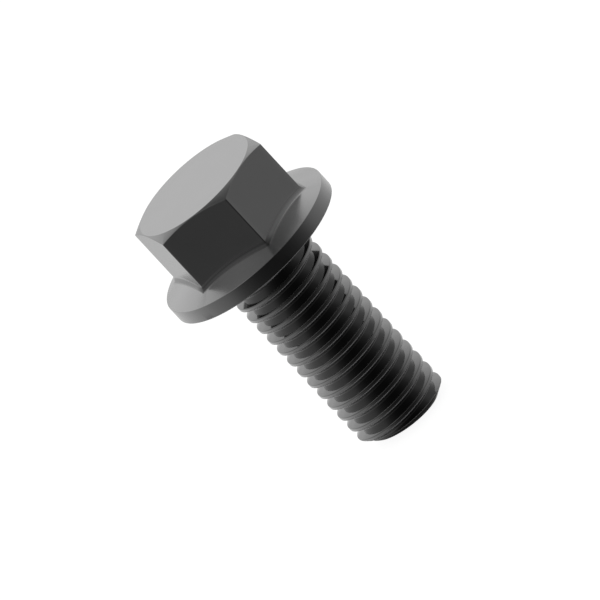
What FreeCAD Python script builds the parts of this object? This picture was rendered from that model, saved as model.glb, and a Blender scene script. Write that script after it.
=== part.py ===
import FreeCAD, Part
import math
import os

# A hexagon flange bolt, forged and rolled from one piece of steel.
# The origin is the centre of the bearing face under the flange.
# +Z runs along the axis, out through the head, and the shank points down.
# Lengths are in millimetres and angles in degrees.

# The hexagon of the head, with a corner on +X and a chamfered top
across_flats = 13.73
head_height = 9.06
hexagon_edge_radius = 0.12
top_circle_diameter = 13.54
top_chamfer_angle = 27.0

# The flange, with a straight rim and a sloping top
flange_diameter = 19.5
rim_thickness = 1.56
rim_chamfer = 0.08
flange_slope = 22.0

# The thread: right-hand, with 60 degree flanks, flat crests and sharp roots
shank_length = 22.52
thread_diameter = 9.85
thread_pitch = 1.5
thread_angle = 60.0
crest_flat = 0.39
crest_height_above_x_axis = -1.13

# The plain neck that flares under the flange, to just wider than the thread
neck_straight = 0.1
neck_flare_angle = 45.0
neck_to_thread_angle = 45.0
bearing_face_clearance = 0.05

# The chamfered point, which ends just inside the thread's root and is cut a little askew
point_below_root = 0.06
point_angle = 50.0
point_tilt = 4.4
point_tilt_direction = 20.0

# How far a hidden face runs on inside another shape
overlap = 0.5

# What follows from those sizes
rim_radius = flange_diameter / 2
corner_radius = across_flats / 2 / math.cos(math.radians(30))
half_thread_angle = math.radians(thread_angle / 2)
crest_radius = thread_diameter / 2
root_radius = crest_radius - (thread_pitch - crest_flat) / 2 / math.tan(half_thread_angle)
neck_radius = (crest_radius + root_radius) / 2
bearing_face_inner_radius = crest_radius + bearing_face_clearance
neck_flare = (bearing_face_inner_radius - neck_radius) / math.tan(math.radians(neck_flare_angle))
neck_length = neck_flare + neck_straight


def flange_top(radius):
    """The height of the flange's cone at a distance from the axis."""
    return rim_thickness + (rim_radius - radius) * math.tan(math.radians(flange_slope))


def turned(outline):
    """The solid that a closed outline of radii and heights sweeps round the axis."""
    corners = [FreeCAD.Vector(radius, 0, height) for radius, height in outline]
    face = Part.Face(Part.makePolygon(corners + corners[:1]))
    return face.revolve(FreeCAD.Vector(), FreeCAD.Vector(0, 0, 1), 360)


def make_flange_and_neck():
    """The round flange, flat below and coned above, with the neck flaring into it."""
    rim_edge_radius = rim_radius - rim_chamfer
    hidden_radius = across_flats / 2 - overlap
    return turned([
        (0, -neck_length),
        (neck_radius, -neck_length),
        (neck_radius, -neck_flare),
        (bearing_face_inner_radius, 0),
        (rim_edge_radius, 0),
        (rim_radius, rim_chamfer),
        (rim_radius, rim_thickness - rim_chamfer),
        (rim_edge_radius, flange_top(rim_edge_radius)),
        (hidden_radius, flange_top(hidden_radius)),
        (0, flange_top(hidden_radius)),
    ])


def make_hexagon():
    """The spanner hexagon, rounded a little at its edges and turned to a circle on top."""
    corners = [FreeCAD.Vector(corner_radius * math.cos(math.radians(60 * side)),
                              corner_radius * math.sin(math.radians(60 * side)),
                              rim_thickness)
               for side in range(7)]
    tall = head_height - rim_thickness
    prism = Part.Face(Part.makePolygon(corners)).extrude(FreeCAD.Vector(0, 0, tall))
    upright = [edge for edge in prism.Edges if edge.BoundBox.ZLength > tall / 2]
    prism = prism.makeFillet(hexagon_edge_radius, upright)

    top_radius = top_circle_diameter / 2
    clear_radius = corner_radius + overlap
    drop = (clear_radius - top_radius) * math.tan(math.radians(top_chamfer_angle))
    chamfered_blank = turned([
        (0, 0),
        (clear_radius, 0),
        (clear_radius, head_height - drop),
        (top_radius, head_height),
        (0, head_height),
    ])
    return prism.common(chamfered_blank)


def helix_turn(radius, height):
    """One turn of the thread's helix, which starts at this height above the X axis."""
    turn = Part.makeHelix(thread_pitch, thread_pitch, radius)
    turn.translate(FreeCAD.Vector(0, 0, height))
    return turn.Edges[0]


def make_sharp_thread():
    """A bar whose thread has sharp crests, longer at both ends than the shank."""
    peak_radius = crest_radius + crest_flat / 2 / math.tan(half_thread_angle)
    turns_below = math.ceil(shank_length / thread_pitch) + 1
    turns = turns_below + 2
    low = crest_height_above_x_axis - turns_below * thread_pitch
    high = low + turns * thread_pitch

    # The flanks run from peak to root and back to the next peak, one turn at a time
    edges = []
    for turn in range(turns):
        edges.append(helix_turn(peak_radius, low + turn * thread_pitch))
        edges.append(helix_turn(root_radius, low + (turn + 0.5) * thread_pitch))
    edges.append(helix_turn(peak_radius, high))
    faces = [Part.makeRuledSurface(lower, upper) for lower, upper in zip(edges, edges[1:])]

    # Each end is closed by a ramp that winds round the axis and the step at its seam
    for outer, start in ((edges[0], low), (edges[-1], high)):
        step = [
            FreeCAD.Vector(0, 0, start),
            FreeCAD.Vector(peak_radius, 0, start),
            FreeCAD.Vector(root_radius, 0, start + thread_pitch / 2),
            FreeCAD.Vector(peak_radius, 0, start + thread_pitch),
            FreeCAD.Vector(0, 0, start + thread_pitch),
        ]
        axis = Part.makeLine(step[0], step[-1])
        faces.append(Part.makeRuledSurface(axis, outer))
        faces.append(Part.Face(Part.makePolygon(step + step[:1])))
    shell = Part.makeShell(faces)
    shell.sewShape()
    return Part.makeSolid(shell)


def make_point():
    """A cone that holds the whole shank and cuts the chamfer and the flat of its point."""
    point_radius = root_radius - point_below_root
    reach = shank_length + overlap
    wide_radius = point_radius + reach * math.tan(math.radians(point_angle))
    point = turned([
        (0, 0),
        (point_radius, 0),
        (wide_radius, reach),
        (0, reach),
    ])
    direction = math.radians(point_tilt_direction)
    hinge = FreeCAD.Vector(-math.sin(direction), math.cos(direction), 0)
    point.rotate(FreeCAD.Vector(), hinge, point_tilt)
    point.translate(FreeCAD.Vector(0, 0, -shank_length))
    return point


def make_threaded_shank():
    """The thread cut down to its flat crests, with a chamfer at each of its ends."""
    neck_drop = (crest_radius - neck_radius) / math.tan(math.radians(neck_to_thread_angle))
    blank = turned([
        (0, -shank_length - overlap),
        (crest_radius, -shank_length - overlap),
        (crest_radius, -neck_length - neck_drop),
        (neck_radius, -neck_length),
        (0, -neck_length),
    ])
    return make_sharp_thread().common(blank.common(make_point()))


os.makedirs("parts", exist_ok=True)
bolt = make_flange_and_neck().fuse([make_hexagon(), make_threaded_shank()])
bolt = bolt.removeSplitter().Solids[0]
bolt.exportStep("parts/flange_bolt.step")
print("flange_bolt: valid", bolt.isValid(), "volume", round(bolt.Volume, 1), "mm3")
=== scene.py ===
# %% [markdown]
# A hexagon flange bolt, forged and thread-rolled from one piece of steel.
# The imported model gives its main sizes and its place, and this script builds the same bolt
# again with the small roundings and the steel that a close look needs.
# It is built in millimetres, round the bolt's own axis, and scaled to metres once at the end.

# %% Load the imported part
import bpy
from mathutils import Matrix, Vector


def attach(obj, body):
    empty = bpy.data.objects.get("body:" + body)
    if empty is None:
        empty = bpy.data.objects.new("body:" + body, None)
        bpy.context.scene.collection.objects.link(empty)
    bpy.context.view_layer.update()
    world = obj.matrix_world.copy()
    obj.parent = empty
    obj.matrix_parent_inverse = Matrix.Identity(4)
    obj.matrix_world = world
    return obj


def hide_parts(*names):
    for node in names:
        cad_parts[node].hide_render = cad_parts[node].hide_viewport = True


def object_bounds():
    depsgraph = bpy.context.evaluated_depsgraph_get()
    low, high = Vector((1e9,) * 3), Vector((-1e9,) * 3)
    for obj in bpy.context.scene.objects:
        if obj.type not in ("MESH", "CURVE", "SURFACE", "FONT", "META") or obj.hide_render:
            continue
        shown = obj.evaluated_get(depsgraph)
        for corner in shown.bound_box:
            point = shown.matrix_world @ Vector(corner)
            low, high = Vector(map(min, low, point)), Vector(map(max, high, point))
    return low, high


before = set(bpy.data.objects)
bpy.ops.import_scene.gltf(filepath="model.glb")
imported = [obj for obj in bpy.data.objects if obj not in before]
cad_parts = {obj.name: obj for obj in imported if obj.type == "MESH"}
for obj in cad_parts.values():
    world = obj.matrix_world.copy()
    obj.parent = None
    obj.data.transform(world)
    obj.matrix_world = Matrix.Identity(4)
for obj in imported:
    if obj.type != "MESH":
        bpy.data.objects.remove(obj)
part_low, part_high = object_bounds()
print("packed part, lowest and highest corner in metres:", part_low[:], part_high[:])

# %% Modules
import math

import bmesh
import bpy
from mathutils import Matrix, Vector

# %% [markdown]
# The sizes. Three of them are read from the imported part's box, so the dressed bolt always
# fills it. The others belong to the bolt: the hexagon that a spanner turns, the flange,
# the thread, and the small radii that a forging die and a rolling die leave on every edge.

# %% Sizes in millimetres and angles in degrees
millimetre = 0.001
rim_radius = (part_high.x - part_low.x) / 2 / millimetre
head_height = part_high.z / millimetre
deepest = -part_low.z / millimetre

across_flats = 13.73
sides = 6
hexagon_edge_radius = 0.12
hexagon_foot_radius = 0.5
top_circle_radius = 6.77
top_chamfer_angle = 27.0
top_edge_radius = 0.05

rim_thickness = 1.56
rim_upper_edge_radius = 0.07
rim_lower_edge_radius = 0.04
flange_slope = 22.0

thread_diameter = 9.85
thread_pitch = 1.5
thread_angle = 60.0
crest_flat = 0.39
crest_edge_radius = 0.07
root_edge_radius = 0.06
crest_height_above_x_axis = -1.13

neck_straight = 0.1
bearing_face_clearance = 0.05
groove_runout = 1.2
runout_below_root = 0.1
point_below_root = 0.06
point_angle = 50.0
point_edge_radius = 0.04
point_tilt = 4.4
point_tilt_direction = 20.0

# %% Sizes that follow from those
side_angle = 360 / sides
half_side_angle = math.radians(side_angle / 2)
corner_radius = across_flats / 2 / math.cos(half_side_angle)
half_thread_angle = math.radians(thread_angle / 2)
crest_radius = thread_diameter / 2
root_radius = crest_radius - (thread_pitch - crest_flat) / 2 / math.tan(half_thread_angle)
neck_radius = round((crest_radius + root_radius) / 2, 3)
neck_fillet_radius = round(crest_radius + bearing_face_clearance - neck_radius, 3)
neck_end = -neck_fillet_radius - neck_straight
point_radius = round(root_radius - point_below_root, 3)
shank_length = deepest - point_radius * math.sin(math.radians(point_tilt))
print("thread depth in mm:", round(crest_radius - root_radius, 3))
print("neck and point radius in mm:", neck_radius, point_radius)

# %% [markdown]
# The head and its flange. A forging like this is not quite round and not quite a hexagon,
# so neither a lathe shape nor an extruded one gives all of it. It is built as a stack of
# rings: one ring of points is extruded again and again, and each new ring is moved to its
# place. The rings keep the hexagon's shape up the flats, follow the cone at their foot and
# are round on the rim. The first ring is a circle of six points with its corners bevelled.

# %% The ring round the hexagon
corner_steps = 6
flat_cuts = 23


def round_corners(mesh, corners, radius, bend, steps):
    """Rounds the corners of a line, where it bends by this many degrees, to a radius."""
    bmesh.ops.bevel(
        mesh,
        geom=corners,
        offset=radius * math.tan(math.radians(bend / 2)),
        segments=steps,
        profile=0.5,
        affect="VERTICES",
        material=-1,
    )


head = bmesh.new()
place = head.verts.layers.int.new("place")
bmesh.ops.create_circle(head, segments=sides, radius=corner_radius)
bmesh.ops.rotate(head, verts=head.verts, matrix=Matrix.Rotation(half_side_angle, 3, "Z"))
round_corners(head, head.verts[:], hexagon_edge_radius, side_angle, corner_steps)
long_sides = [edge for edge in head.edges if edge.calc_length() > corner_radius / 2]
bmesh.ops.subdivide_edges(head, edges=long_sides, cuts=flat_cuts)
outline = [vert.co.copy() for vert in head.verts]
for number, vert in enumerate(head.verts):
    vert[place] = number
hexagon_ring = head.edges[:]
print("points round the hexagon:", len(outline))

# %% [markdown]
# The places of the other rings are worked out from the first. Each of its points moves
# straight away from the hexagon: square to a flat, or along a corner's own radius.

# %% Directions and heights on the head
corner_centre = (across_flats / 2 - hexagon_edge_radius) / math.cos(half_side_angle)


def polar(radius, angle, height=0):
    """A point at a distance from the axis, an angle round it and a height."""
    return Vector((radius * math.cos(angle), radius * math.sin(angle), height))


def outward(point):
    """The level direction that faces away from the hexagon at a point of its outline."""
    side = 2 * half_side_angle
    corner = side * round(math.atan2(point.y, point.x) / side)
    away = point - polar(corner_centre, corner)
    turn = math.remainder(math.atan2(away.y, away.x) - corner, math.tau)
    turn = max(-half_side_angle, min(half_side_angle, turn))
    return polar(1, corner + turn)


def flange_top(radius):
    """The height of the flange's cone at a distance from the axis."""
    return rim_thickness + (rim_radius - radius) * math.tan(math.radians(flange_slope))


def arc(radius, height, bend, first, last, steps):
    """Radii and heights along an arc with this centre and bend radius, between two angles."""
    angles = [math.radians(first + (last - first) * step / steps) for step in range(steps + 1)]
    return [(radius + bend * math.cos(a), height + bend * math.sin(a)) for a in angles]


print("the cone's height at the hexagon's corners in mm:", round(flange_top(corner_radius), 3))

# %% [markdown]
# Where the flats meet the cone, the die leaves a small concave radius. Each of its rings
# stands a little further out from the hexagon and a little lower over the cone. The rim and
# the fillet under the head are round, so each of their rings has one radius and one height.
# The last ring narrows to inside the thread, and the groove runs out on that hidden cone.

# %% Rings of the foot, the cone, the rim and the neck
foot_steps = 5
rim_edge_steps = 5
fillet_steps = 8


def on_foot(point, distance, height):
    """A point at a distance outside the hexagon and a height over the flange's cone."""
    moved = point + outward(point) * distance
    return Vector((moved.x, moved.y, flange_top(moved.length) + height))


def foot_ring(angle):
    """The ring of the foot's radius at an angle, from 0 at the flat to 90 on the cone."""
    distance = hexagon_foot_radius * (1 - math.cos(math.radians(angle)))
    height = hexagon_foot_radius * (1 - math.sin(math.radians(angle)))
    return [on_foot(point, distance, height) for point in outline]


def round_ring(radius, height):
    """A round ring whose points lie straight outside those of the hexagon's foot."""
    foot = [on_foot(point, hexagon_foot_radius, 0) for point in outline]
    return [polar(radius, math.atan2(point.y, point.x), height) for point in foot]


cone_facing = 90 - flange_slope
upper_edge = rim_radius - rim_upper_edge_radius
upper_edge_height = flange_top(upper_edge)
upper_edge_height -= rim_upper_edge_radius / math.cos(math.radians(flange_slope))
lower_edge = rim_radius - rim_lower_edge_radius
fillet = neck_radius + neck_fillet_radius
profile = [
    *arc(upper_edge, upper_edge_height, rim_upper_edge_radius, cone_facing, 0, rim_edge_steps),
    *arc(lower_edge, rim_lower_edge_radius, rim_lower_edge_radius, 0, -90, rim_edge_steps),
    *arc(fillet, -neck_fillet_radius, neck_fillet_radius, 90, 180, fillet_steps),
    (neck_radius, neck_end),
    (root_radius - runout_below_root, neck_end - groove_runout),
]
downward = [foot_ring(90 * step / foot_steps) for step in range(1, foot_steps + 1)]
downward += [round_ring(radius, height) for radius, height in profile]
print("rings below the flats:", len(downward))

# %% [markdown]
# The top of the head is turned to a circle that is just narrower than the flats, so the
# chamfer is wide at the corners and a mere line on the flats, which end in shallow arches.
# The edges are rounded by a hair. One rule gives every point: take the outline of the section
# drawn in by the edge radius, and go out again by that radius, along each direction from
# level to upright.

# %% Rings of the top
side_edge_steps = 4
top_edge_steps = 2
chamfer_facing = 90 - top_chamfer_angle
chamfer_tangent = math.tan(math.radians(top_chamfer_angle))
chamfer_cosine = math.cos(math.radians(top_chamfer_angle))


def over_top(point, angle, on_chamfer):
    """The point of the rounded top edge that faces this many degrees up from level."""
    drawn_in = Vector((point.length - top_edge_radius, head_height - top_edge_radius))
    chamfer_top = top_circle_radius - top_edge_radius * (1 / chamfer_cosine - 1) / chamfer_tangent
    if chamfer_top < drawn_in.x:
        if on_chamfer:
            drawn_in.x = chamfer_top
        else:
            drawn_in.y = head_height - top_edge_radius / chamfer_cosine
            drawn_in.y -= (drawn_in.x - top_circle_radius) * chamfer_tangent
    turned = Vector((math.cos(math.radians(angle)), math.sin(math.radians(angle))))
    reached = drawn_in + turned * top_edge_radius
    return polar(reached.x, math.atan2(point.y, point.x), reached.y)


upward = []
for step in range(side_edge_steps + 1):
    angle = chamfer_facing * step / side_edge_steps
    upward.append([over_top(point, angle, False) for point in outline])
for step in range(top_edge_steps + 1):
    angle = chamfer_facing + top_chamfer_angle * step / top_edge_steps
    upward.append([over_top(point, angle, True) for point in outline])
print("rings above the foot:", len(upward))

# %% [markdown]
# Now the stack is made. The ring at the foot of the flats is extruded up to the top and
# closed there, and then down round the flange to the neck and closed inside the shank.


# %% Build the head
def stack(mesh, ring, places):
    """Extrudes a ring of edges once for each list of places, and fills the last one."""
    for points in places:
        made = bmesh.ops.extrude_edge_only(mesh, edges=ring)["geom"]
        ring = [item for item in made if isinstance(item, bmesh.types.BMEdge)]
        for item in made:
            if isinstance(item, bmesh.types.BMVert):
                item.co = points[item[place]]
    bmesh.ops.edgeloop_fill(mesh, edges=ring)


def shown(data, name):
    """A scene object for a mesh or a camera."""
    made = bpy.data.objects.new(name, data)
    bpy.context.scene.collection.objects.link(made)
    return made


def as_object(mesh, name):
    """A scene object that holds a finished bmesh."""
    data = bpy.data.meshes.new(name)
    mesh.to_mesh(data)
    mesh.free()
    return shown(data, name)


for vert in head.verts:
    vert.co = foot_ring(0)[vert[place]]
stack(head, hexagon_ring, upward)
stack(head, hexagon_ring, downward)
bmesh.ops.recalc_face_normals(head, faces=head.faces)
head_shape = as_object(head, "head_shape")
print("faces of the head:", len(head_shape.data.polygons))

# %% [markdown]
# The thread. Two flat dies roll the blank between them and press the groove in, and the
# steel rises into crests with small round edges. The profile of one pitch is drawn once,
# its corners are bevelled, and it is spun up the axis like a spring. Each turn meets the
# one below, so the doubled points between them are merged.

# %% One pitch of the thread, spun into a strip
steps_per_turn = 96
thread_edge_steps = 4
merge_distance = 0.002
turns_below = math.ceil(shank_length / thread_pitch) + 2
turns = turns_below + 2
strip_start = crest_height_above_x_axis - turns_below * thread_pitch


def draw_profile(mesh, points, base=0):
    """Joins radii and heights above a base into a line, and gives back its corners."""
    corners = [mesh.verts.new((radius, 0, base + height)) for radius, height in points]
    for lower, upper in zip(corners, corners[1:]):
        mesh.edges.new((lower, upper))
    return corners


bar = bmesh.new()
corners = draw_profile(bar, [
    (crest_radius, 0),
    (crest_radius, crest_flat / 2),
    (root_radius, thread_pitch / 2),
    (crest_radius, thread_pitch - crest_flat / 2),
    (crest_radius, thread_pitch),
], strip_start)
crest_bend, root_bend = 90 - thread_angle / 2, 180 - thread_angle
round_corners(bar, corners[1:4:2], crest_edge_radius, crest_bend, thread_edge_steps)
round_corners(bar, corners[2:3], root_edge_radius, root_bend, thread_edge_steps)
bmesh.ops.spin(
    bar,
    geom=bar.verts[:] + bar.edges[:],
    cent=(0, 0, 0),
    axis=(0, 0, 1),
    dvec=(0, 0, thread_pitch / steps_per_turn),
    angle=math.tau * turns,
    steps=turns * steps_per_turn,
)
bmesh.ops.remove_doubles(bar, verts=bar.verts, dist=merge_distance)
print("turns of the strip:", turns)

# %% [markdown]
# The strip is open at both ends, and its first and last turns have no neighbour. It is
# longer than the shank, so two level cuts can take those turns off and close it to a bar.
# It is one pitch taller than the turns of its spin, because it starts one pitch tall.

# %% Cut the strip to a closed bar
turns_cut_off = 1.2
bar_low = strip_start + turns_cut_off * thread_pitch
bar_high = strip_start + (turns + 1 - turns_cut_off) * thread_pitch
for cut_height, facing in ((bar_low, -1), (bar_high, 1)):
    cut = bmesh.ops.bisect_plane(
        bar,
        geom=bar.verts[:] + bar.edges[:] + bar.faces[:],
        plane_co=(0, 0, cut_height),
        plane_no=(0, 0, facing),
        clear_outer=True,
    )["geom_cut"]
    rim = [item for item in cut if isinstance(item, bmesh.types.BMEdge)]
    bmesh.ops.edgeloop_fill(bar, edges=rim)
bmesh.ops.recalc_face_normals(bar, faces=bar.faces)
open_edges = [edge for edge in bar.edges if not edge.is_manifold]
thread_bar = as_object(bar, "thread_bar")
print("faces of the bar:", len(thread_bar.data.polygons), "open edges:", len(open_edges))

# %% [markdown]
# The bar is cut to the shape of the turned blank: a chamfered point at one end, and a
# chamfer into the neck at the other. Between them the blank is wider than the crests and
# cuts nothing. It is a profile spun once round the axis. Its point is then turned a few
# degrees about a hinge across the end, because the real bolt's point was cropped and rolled
# a little askew.

# %% The turned blank
blank_steps = 144
point_edge_steps = 3
crest_clearance = 0.4
neck_overlap = 0.02
hidden_end = 0.3
clear_radius = crest_radius + crest_clearance
neck_cut = neck_end + neck_overlap
point_rise = (clear_radius - point_radius) / math.tan(math.radians(point_angle))

blank = bmesh.new()
corners = draw_profile(blank, [
    (0, -shank_length),
    (point_radius, -shank_length),
    (clear_radius, point_rise - shank_length),
    (clear_radius, neck_cut - (clear_radius - neck_radius)),
    (neck_radius - hidden_end, neck_cut + hidden_end),
    (0, neck_cut + hidden_end),
])
round_corners(blank, corners[1:2], point_edge_radius, 90 - point_angle, point_edge_steps)
bmesh.ops.spin(
    blank,
    geom=blank.verts[:] + blank.edges[:],
    cent=(0, 0, 0),
    axis=(0, 0, 1),
    angle=math.tau,
    steps=blank_steps,
    use_merge=True,
)
bmesh.ops.remove_doubles(blank, verts=blank.verts, dist=merge_distance)
hinge = polar(1, math.radians(point_tilt_direction + 90))
bmesh.ops.rotate(
    blank,
    verts=[vert for vert in blank.verts if vert.co.z < -shank_length / 2],
    cent=(0, 0, -shank_length),
    matrix=Matrix.Rotation(math.radians(point_tilt), 3, hinge),
)
bmesh.ops.recalc_face_normals(blank, faces=blank.faces)
blank_shape = as_object(blank, "blank_shape")
print("faces of the blank:", len(blank_shape.data.polygons))

# %% [markdown]
# Boolean modifiers keep what the bar and the blank share, and weld the head to it. Their
# results are kept as a plain mesh, so that nothing is left to work out later.


# %% Join the shapes into one bolt
def combined(first, second, operation):
    """The mesh of two objects joined or cut by a Boolean modifier. Both objects go."""
    modifier = first.modifiers.new("Boolean", "BOOLEAN")
    modifier.operation = operation
    modifier.solver = "EXACT"
    modifier.object = second
    graph = bpy.context.evaluated_depsgraph_get()
    data = bpy.data.meshes.new_from_object(first.evaluated_get(graph))
    for used in (first, second):
        bpy.data.objects.remove(used)
    return data


shank = shown(combined(thread_bar, blank_shape, "INTERSECT"), "shank_shape")
print("faces of the shank:", len(shank.data.polygons))
steel = combined(head_shape, shank, "UNION")
steel.transform(Matrix.Scale(millimetre, 4))
bolt = shown(steel, "bolt_steel")
print("faces of the bolt:", len(steel.polygons))

# %% [markdown]
# Shading. All faces are smooth, and edges sharper than the roundings are marked sharp.
# Weighted normals let the large flat faces stay flat up to the edge, so the light turns
# only on the roundings, as it does on the real bolt.

# %% Smooth shading
sharp_angle = 32.0
large_face_weight = 60
steel.shade_smooth()
steel.set_sharp_from_angle(angle=math.radians(sharp_angle))
weighted = bolt.modifiers.new("Weighted normals", "WEIGHTED_NORMAL")
weighted.mode = "FACE_AREA"
weighted.weight = large_face_weight
weighted.keep_sharp = True
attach(bolt, "root")
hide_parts("flange_bolt")
print("modifiers of the bolt:", [modifier.name for modifier in bolt.modifiers])

# %% [markdown]
# Node maths. A socket is wrapped, so that plain sums in Python add Math nodes, and one
# method adds any other node. A mask is a value that is 1 in a place and 0 outside it.


# %% A small class for shader nodes
class Wire:
    """One output socket of a node, which sums and other nodes can follow."""

    def __init__(self, tree, socket=None):
        self.tree = tree
        self.socket = socket

    def node(self, kind, settings=None, inputs=None, output=0):
        """Adds a node of this kind. Settings go on the node, and inputs are values or wires."""
        made = self.tree.nodes.new(kind)
        for name, value in (settings or {}).items():
            if name == "stops":
                ramp = made.color_ramp
                while len(ramp.elements) < len(value):
                    ramp.elements.new(1)
                for element, (position, grey) in zip(ramp.elements, value):
                    element.position = position
                    element.color = (grey, grey, grey, 1)
            else:
                setattr(made, name, value)
        for name, value in (inputs or {}).items():
            if isinstance(value, Wire):
                self.tree.links.new(value.socket, made.inputs[name])
            else:
                made.inputs[name].default_value = value
        return Wire(self.tree, made.outputs[output]) if made.outputs else made

    def math(self, operation, first, second=0):
        """Adds a Math node for a sum that Python has no sign for."""
        return self.node("ShaderNodeMath", {"operation": operation}, {0: first, 1: second})

    def size(self, value):
        """A value without its sign."""
        return self.math("ABSOLUTE", value)

    def length(self, first, second):
        """The length of the slope over two sides that stand square to each other."""
        return self.math("SQRT", first * first + second * second)

    def largest(self, first, *others):
        """The largest of several values."""
        for other in others:
            first = self.math("MAXIMUM", first, other)
        return first

    def between(self, value, off, on):
        """A mask that is 0 where the value is at off, 1 where it is at on, and eased between."""
        return self.node("ShaderNodeMapRange", {"interpolation_type": "SMOOTHSTEP"},
                         {"Value": value, "From Min": off, "From Max": on})

    def __add__(self, other):
        return self.math("ADD", self, other)

    def __radd__(self, other):
        return self.math("ADD", other, self)

    def __sub__(self, other):
        return self.math("SUBTRACT", self, other)

    def __rsub__(self, other):
        return self.math("SUBTRACT", other, self)

    def __mul__(self, other):
        return self.math("MULTIPLY", self, other)

    def __rmul__(self, other):
        return self.math("MULTIPLY", other, self)


def empty_tree(owner):
    """The cleared node tree of a material or a world."""
    owner.use_nodes = True
    owner.node_tree.nodes.clear()
    return Wire(owner.node_tree)


# %% [markdown]
# The steel. It is plain grey and smooth, and differs a little from place to place: the foot of
# the hexagon is darkened as painted shade, the crests are rubbed, and so on. Such places could be
# painted on an image, but a thread is hard to lay out flat. They are worked out instead from where
# a
# point of the steel lies: its distance to the axis, to the flats and to the flange, and its
# place on the thread. All of them are in millimetres, on the bolt's own axes.

# %% Where a point of the steel lies
steel_look = bpy.data.materials.new("bolt steel")
draw = empty_tree(steel_look)
position = draw.node("ShaderNodeTexCoord", output="Object")
in_millimetres = draw.node("ShaderNodeVectorMath", {"operation": "SCALE"},
                           {0: position, "Scale": 1 / millimetre})
split = draw.node("ShaderNodeSeparateXYZ", inputs={"Vector": in_millimetres})
across_x, across_y, height = (Wire(draw.tree, socket) for socket in split.socket.node.outputs)
from_axis = draw.length(across_x, across_y)


def toward(angle):
    """How far a point lies from the axis in the level direction at this many degrees."""
    return math.cos(math.radians(angle)) * across_x + math.sin(math.radians(angle)) * across_y


flats = [draw.size(toward(side_angle * (side + 0.5))) for side in range(sides // 2)]
from_flat = draw.largest(*flats) - across_flats / 2
over_flange = height - flange_top(0) + math.tan(math.radians(flange_slope)) * from_axis
print("nodes for the steel's distances:", len(draw.tree.nodes))

# %% [markdown]
# The head. Its grey is darkened in the foot of the hexagon as painted shade, most of it at the
# front, the side that faces the camera. The chamfer on top is turned, so it has a finish of its
# own.
# The tumbling drum rubs the corners and the rim smooth, and roughens the rim's lower edge, which
# is also painted as a thin pale highlight line. Each pair of numbers says where a place starts and
# where it is full.

# %% Places on the head
foot_reach = (0.8 * hexagon_foot_radius, 0.65 * hexagon_foot_radius)
front_reach = (1 - across_flats / 2, -across_flats / 2)
chamfer_outside_circle = (top_circle_radius - 0.02, top_circle_radius + 0.02)
chamfer_above = (head_height - 1.2, head_height - 0.5)
chamfer_inside_flat = (0, -0.02)
corner_outside = (corner_radius - 0.35, corner_radius - 0.1)
corner_inside_flat = (0.03, 0.01)
rim_outside = (rim_radius - 0.1, rim_radius - 0.02)
rim_line_outside = (rim_radius - 0.12, rim_radius - 0.05)
rim_line_below = (0.1, 0.06)
head_above = (-0.8, -0.4)

in_foot = draw.between(draw.size(from_flat) + draw.size(over_flange), *foot_reach)
on_front = draw.between(across_y, *front_reach)
on_chamfer = draw.between(from_axis, *chamfer_outside_circle)
on_chamfer *= draw.between(height, *chamfer_above)
on_chamfer *= draw.between(from_flat, *chamfer_inside_flat)
on_corner = draw.between(from_axis, *corner_outside)
on_corner *= draw.between(from_flat, *corner_inside_flat)
on_rim = draw.between(from_axis, *rim_outside)
rim_line = draw.between(from_axis, *rim_line_outside) * draw.between(height, *rim_line_below)
on_head = draw.between(height, *head_above)
print("nodes with the places on the head:", len(draw.tree.nodes))

# %% [markdown]
# The thread. A crest climbs by one pitch in each turn, so a point's height and its angle
# round the axis together give its distance from the middle of the nearest crest, which is
# negative below it. The lower flanks are painted lighter as painted light from below, and the
# upper ones darker as painted shade. The drum rubs the crests and roughens their lower edges,
# which are also painted as thin pale highlight lines.

# %% Places on the thread
half_crest = crest_flat / 2
lower_flank_below = (0.02 - half_crest, -0.03 - half_crest)
upper_flank_above = (half_crest - 0.13, half_crest - 0.05)
crest_outside = (crest_radius - 0.06, crest_radius - 0.01)
crest_line_outside = (crest_radius - 0.12, crest_radius - 0.08)
crest_line_reach = (0.09, 0.06)

on_thread = 1 - on_head
angle = draw.math("ARCTAN2", across_y, across_x)
turns_up = (height - crest_height_above_x_axis) * (1 / thread_pitch) - angle * (1 / math.tau)
from_crest = (draw.math("FRACT", turns_up + 0.5) - 0.5) * thread_pitch
# lower_flank marks where painted light is added, and upper_flank where painted shade is added.
lower_flank = draw.between(from_crest, *lower_flank_below) * on_thread
upper_flank = draw.between(from_crest, *upper_flank_above) * on_thread
on_crest = draw.between(from_axis, *crest_outside) * on_thread
# crest_line is the scuffed lower crest edge, which gets a painted highlight.
crest_line = draw.between(draw.size(from_crest + half_crest), *crest_line_reach) * on_thread
crest_line *= draw.between(from_axis, *crest_line_outside)
print("nodes with the places on the thread:", len(draw.tree.nodes))

# %% [markdown]
# The point. Its chamfer is a cone that leans with it, so the distance to that cone is worked
# out on axes that lean too. A rough line with a painted highlight runs where the cone comes out
# through the thread: just inside the cone, and close under the thread's surface.

# %% The line at the start of the point's chamfer
cone_reach = (0.16, 0.1)
thread_reach = (0.1, 0.05)
lean = math.radians(point_tilt)

above_middle = height + shank_length
along_tilt = toward(point_tilt_direction)
beside_tilt = toward(point_tilt_direction + 90)
above_end = math.sin(lean) * along_tilt + math.cos(lean) * above_middle
leaning_x = math.cos(lean) * along_tilt - math.sin(lean) * above_middle
cone_radius = math.tan(math.radians(point_angle)) * above_end + point_radius
inside_cone = cone_radius - draw.length(leaning_x, beside_tilt)
past_crest = draw.largest(draw.size(from_crest) - half_crest, 0)
thread_radius = crest_radius - past_crest * (1 / math.tan(half_thread_angle))
inside_thread = thread_radius - from_axis
point_line = draw.between(inside_cone, *cone_reach) * draw.between(inside_thread, *thread_reach)
print("nodes with the line at the point:", len(draw.tree.nodes))
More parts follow.
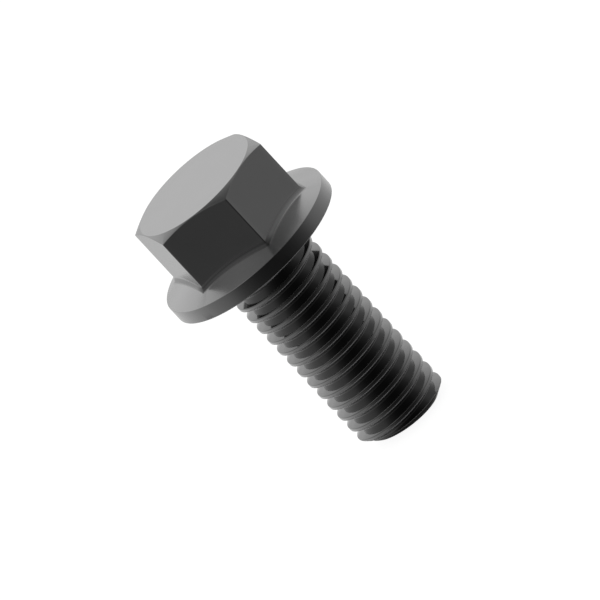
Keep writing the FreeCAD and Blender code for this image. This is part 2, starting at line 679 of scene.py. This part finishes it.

# %% [markdown]
# The colour and the gloss. The grey drifts by a few percent over millimetres, and a very
# fine grain lies in the surface. After each place stands the part by which it lightens or
# darkens the grey, or what it adds to the roughness. The scuffed lines are rougher and less
# metallic than the rest: they catch light from all round instead of mirroring one side of the
# room. Their grey is also raised a lot, which is a painted highlight.

# %% The steel's material
steel_grey = 0.42
drift_per_millimetre = 0.35
drift_strength = 0.1
grain_per_millimetre = 6.0
grain_height = 0.004
grain_strength = 0.15
# Painted shade in the foot of the hexagon, with more added at the front.
foot_painted_shade = 0.3
front_foot_painted_shade = 0.4
base_roughness = 0.06
scuff_dulling = 0.7

drift = draw.node("ShaderNodeTexNoise", inputs={
    "Vector": in_millimetres, "Scale": drift_per_millimetre, "Detail": 3.0})
grain = draw.node("ShaderNodeTexNoise", inputs={
    "Vector": in_millimetres, "Scale": grain_per_millimetre, "Detail": 4.0})
rubbed = on_corner + on_crest + on_rim
# The scuffed lines are rougher and duller steel, and their grey is raised as a painted highlight.
scuffed_and_highlit = draw.largest(crest_line, point_line, rim_line)
# Painted shade: the grey in the foot of the hexagon is darkened, more on the front toward the
# camera.
painted_foot_shade = in_foot * (foot_painted_shade + front_foot_painted_shade * on_front)
tone = steel_grey * (1 - drift_strength / 2 + drift_strength * drift) * (1 - painted_foot_shade)
# upper_flank darkens the grey as painted shade, lower_flank lightens it as painted light, and the
# scuffed lines lighten it as painted highlights.
for place_mask, change in (
    (on_chamfer, -0.18), (upper_flank, -0.42), (lower_flank, 0.4),
    (rubbed, 0.04), (scuffed_and_highlit, 0.75),
):
    tone *= 1 + change * place_mask
roughness = base_roughness
for place_mask, change in (
    (drift, 0.04), (grain, 0.03), (on_head, 0.13), (in_foot, 0.06),
    (rubbed, -0.02), (scuffed_and_highlit, 0.3),
):
    roughness += change * place_mask
surface = draw.node("ShaderNodeBsdfPrincipled", inputs={
    "Base Color": draw.node("ShaderNodeCombineColor",
                            inputs={"Red": tone, "Green": tone, "Blue": tone}),
    "Metallic": 1 - scuff_dulling * scuffed_and_highlit,
    "Roughness": roughness,
    "Normal": draw.node("ShaderNodeBump", inputs={
        "Height": grain, "Strength": grain_strength, "Distance": grain_height * millimetre}),
})
draw.node("ShaderNodeOutputMaterial", inputs={"Surface": surface})
steel.materials.clear()
steel.materials.append(steel_look)
print("nodes of the steel:", len(draw.tree.nodes))

# %% [markdown]
# The camera looks down on the standing bolt from the front right, and is rolled so that the
# bolt leans to the left in the picture. It is a parallel view: the flats' edges stay parallel.

# %% The camera
image_size = 600
pixels_per_millimetre = 10.39
origin_pixel_across = 254.5
origin_pixel_down = 251.03
camera_azimuth = math.radians(20.3)
camera_elevation = math.radians(18.56)
camera_roll = math.radians(42.8)
camera_distance = 200.0
nearest_seen = 10.0

level = polar(1, camera_azimuth)
rising = polar(math.sin(camera_elevation), camera_azimuth + math.radians(90),
               math.cos(camera_elevation))
to_camera = level.cross(rising)
right = math.cos(camera_roll) * level - math.sin(camera_roll) * rising
up = math.sin(camera_roll) * level + math.cos(camera_roll) * rising
across = (image_size / 2 - origin_pixel_across) / pixels_per_millimetre
down = (image_size / 2 - origin_pixel_down) / pixels_per_millimetre

lens = bpy.data.cameras.new("camera")
lens.type = "ORTHO"
lens.ortho_scale = image_size / pixels_per_millimetre * millimetre
lens.clip_start = nearest_seen * millimetre
camera = shown(lens, "camera")
place_in_room = (across * right - down * up + camera_distance * to_camera) * millimetre
turned_view = Matrix((right, up, to_camera)).transposed().to_4x4()
camera.matrix_world = Matrix.Translation(place_in_room) @ turned_view
bpy.context.scene.camera = camera
print("the camera's back points along", to_camera[:])

# %% [markdown]
# The room. Bright steel shows the room more than it shows lamps, and a room that was white
# all round would leave the bolt pale on every side. So the white background is for the
# camera's rays alone. What the steel mirrors is a room with a light wall behind the bolt,
# which fades to dark on the camera's side: the faces seen at a glancing angle are light, and
# those that look at the camera are dark. The light also fades toward the floor and right
# overhead, and a high window at the front left brightens the flange's cone.

# %% The greys of the room
# In each list, 0 is the direction straight away from the middle of the wall, or straight
# down, and 1 is the direction to the middle of the wall, or straight up.
backdrop_white = 1.0
wall_stops = [
    (0.0, 0.012), (0.06, 0.028), (0.165, 0.08), (0.3, 0.225), (0.46, 0.31),
    (0.615, 0.43), (0.75, 0.61), (0.86, 0.77), (0.95, 0.84), (1.0, 0.92),
]
height_stops = [
    (0.0, 0.02), (0.15, 0.03), (0.25, 0.12), (0.325, 0.9), (0.37, 0.9), (0.5, 0.76),
    (0.56, 0.80), (0.65, 1.0), (0.8, 1.0), (0.9, 0.68), (0.985, 0.15),
]
glow_stops = [(0.0, 0.012), (0.2, 0.012), (0.3, 0.005), (0.98, 0.005), (1.0, 0.06)]
window_strength = 0.38
window_sharpness = 24
wall_turn, wall_rise = 188.5, 15.0
window_turn, window_rise = -50.0, 60.0


def room_direction(turn, rise):
    """The direction that is turned round the room from the camera's and rises, in degrees."""
    facing = math.atan2(to_camera.y, to_camera.x) + math.radians(turn)
    return polar(math.cos(math.radians(rise)), facing, math.sin(math.radians(rise)))


wall_middle = room_direction(wall_turn, wall_rise)
window_middle = room_direction(window_turn, window_rise)
print("the wall's middle lies along", wall_middle[:], "and the window's along", window_middle[:])

# %% The room's light
room = bpy.data.worlds.new("room")
bpy.context.scene.world = room
draw = empty_tree(room)
ray = draw.node("ShaderNodeTexCoord", output="Generated")


def near(middle):
    """How near a ray runs to a direction, from -1 straight away from it to 1 along it."""
    return draw.node("ShaderNodeVectorMath", {"operation": "DOT_PRODUCT"},
                     {0: ray, 1: middle}, output="Value")


def shade(nearness, stops):
    """The grey of a ramp for a nearness from -1 to 1."""
    return draw.node("ShaderNodeValToRGB", {"stops": stops}, {"Fac": 0.5 + 0.5 * nearness})


rise = draw.node("ShaderNodeSeparateXYZ", inputs={"Vector": ray}, output="Z")
wall = shade(near(wall_middle), wall_stops) * shade(rise, height_stops)
window = draw.math("POWER", draw.largest(near(window_middle), 0), window_sharpness)
light = wall + window_strength * window + shade(rise, glow_stops)
is_camera = draw.node("ShaderNodeLightPath", output="Is Camera Ray")
strength = light + is_camera * (backdrop_white - light)
background = draw.node("ShaderNodeBackground",
                       inputs={"Color": (1, 1, 1, 1), "Strength": strength})
draw.node("ShaderNodeOutputWorld", inputs={"Surface": background})
print("nodes of the room:", len(draw.tree.nodes))

# %% [markdown]
# The floor is a plain white sheet under the point. It shines for the camera alone, and the
# rest of its white is lit by the room, so the bolt's soft shadow stays on it.

# %% The floor
floor_size = 600.0
floor_squares = 8
floor_grey = 0.4
floor_shine = 0.92

floor_mesh = bmesh.new()
bmesh.ops.create_grid(floor_mesh, x_segments=floor_squares, y_segments=floor_squares,
                      size=floor_size / 2)
bmesh.ops.translate(floor_mesh, verts=floor_mesh.verts, vec=(0, 0, -deepest))
bmesh.ops.scale(floor_mesh, verts=floor_mesh.verts, vec=(millimetre, millimetre, millimetre))
floor = as_object(floor_mesh, "floor")
floor.visible_glossy = False
floor_look = bpy.data.materials.new("floor white")
draw = empty_tree(floor_look)
is_camera = draw.node("ShaderNodeLightPath", output="Is Camera Ray")
lit = draw.node("ShaderNodeBsdfDiffuse", inputs={"Color": (floor_grey, floor_grey, floor_grey, 1)})
shine = draw.node("ShaderNodeEmission",
                  inputs={"Color": (1, 1, 1, 1), "Strength": floor_shine * is_camera})
both = draw.node("ShaderNodeAddShader", inputs={0: lit, 1: shine})
draw.node("ShaderNodeOutputMaterial", inputs={"Surface": both})
floor.data.materials.append(floor_look)
print("the floor lies at", round(-deepest, 2), "mm")

# %% Colours as they are
bpy.context.scene.view_settings.view_transform = "Standard"
